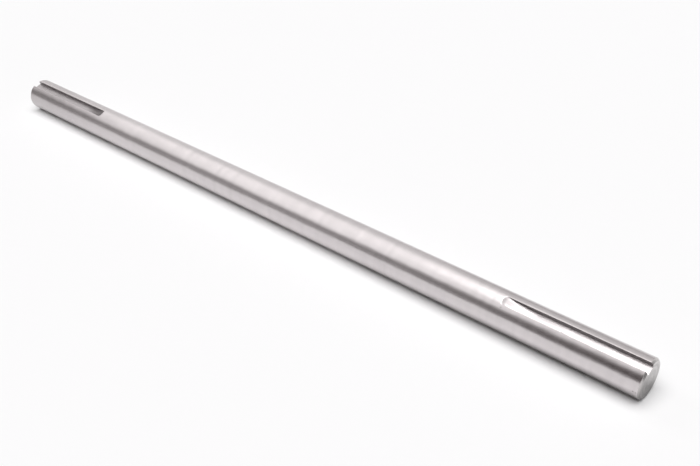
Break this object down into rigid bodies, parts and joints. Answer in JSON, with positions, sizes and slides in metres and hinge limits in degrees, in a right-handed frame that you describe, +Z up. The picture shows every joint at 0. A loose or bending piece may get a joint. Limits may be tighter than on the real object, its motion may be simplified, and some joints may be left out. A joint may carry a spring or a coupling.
{
  "type": "motor shaft",
  "caption": "Straight round ground-steel shaft with chamfered ends and an open keyway milled in from each end, to key couplings, pulleys or rotors onto it.",
  "frame": {"origin": "on the floor plane, under the middle of the shaft's length", "axes": "+X along the shaft's axis towards the end with the shorter keyway, +Z up; both keyways face up, turned 21 degrees towards -Y"},
  "size_m": [0.578, 0.0254, 0.0254],
  "materials": {
    "ground_steel": "centreless ground, satin"
  },
  "bodies": {
    "root": {"keyed_shaft": "ground_steel"}
  },
  "joints": []
}
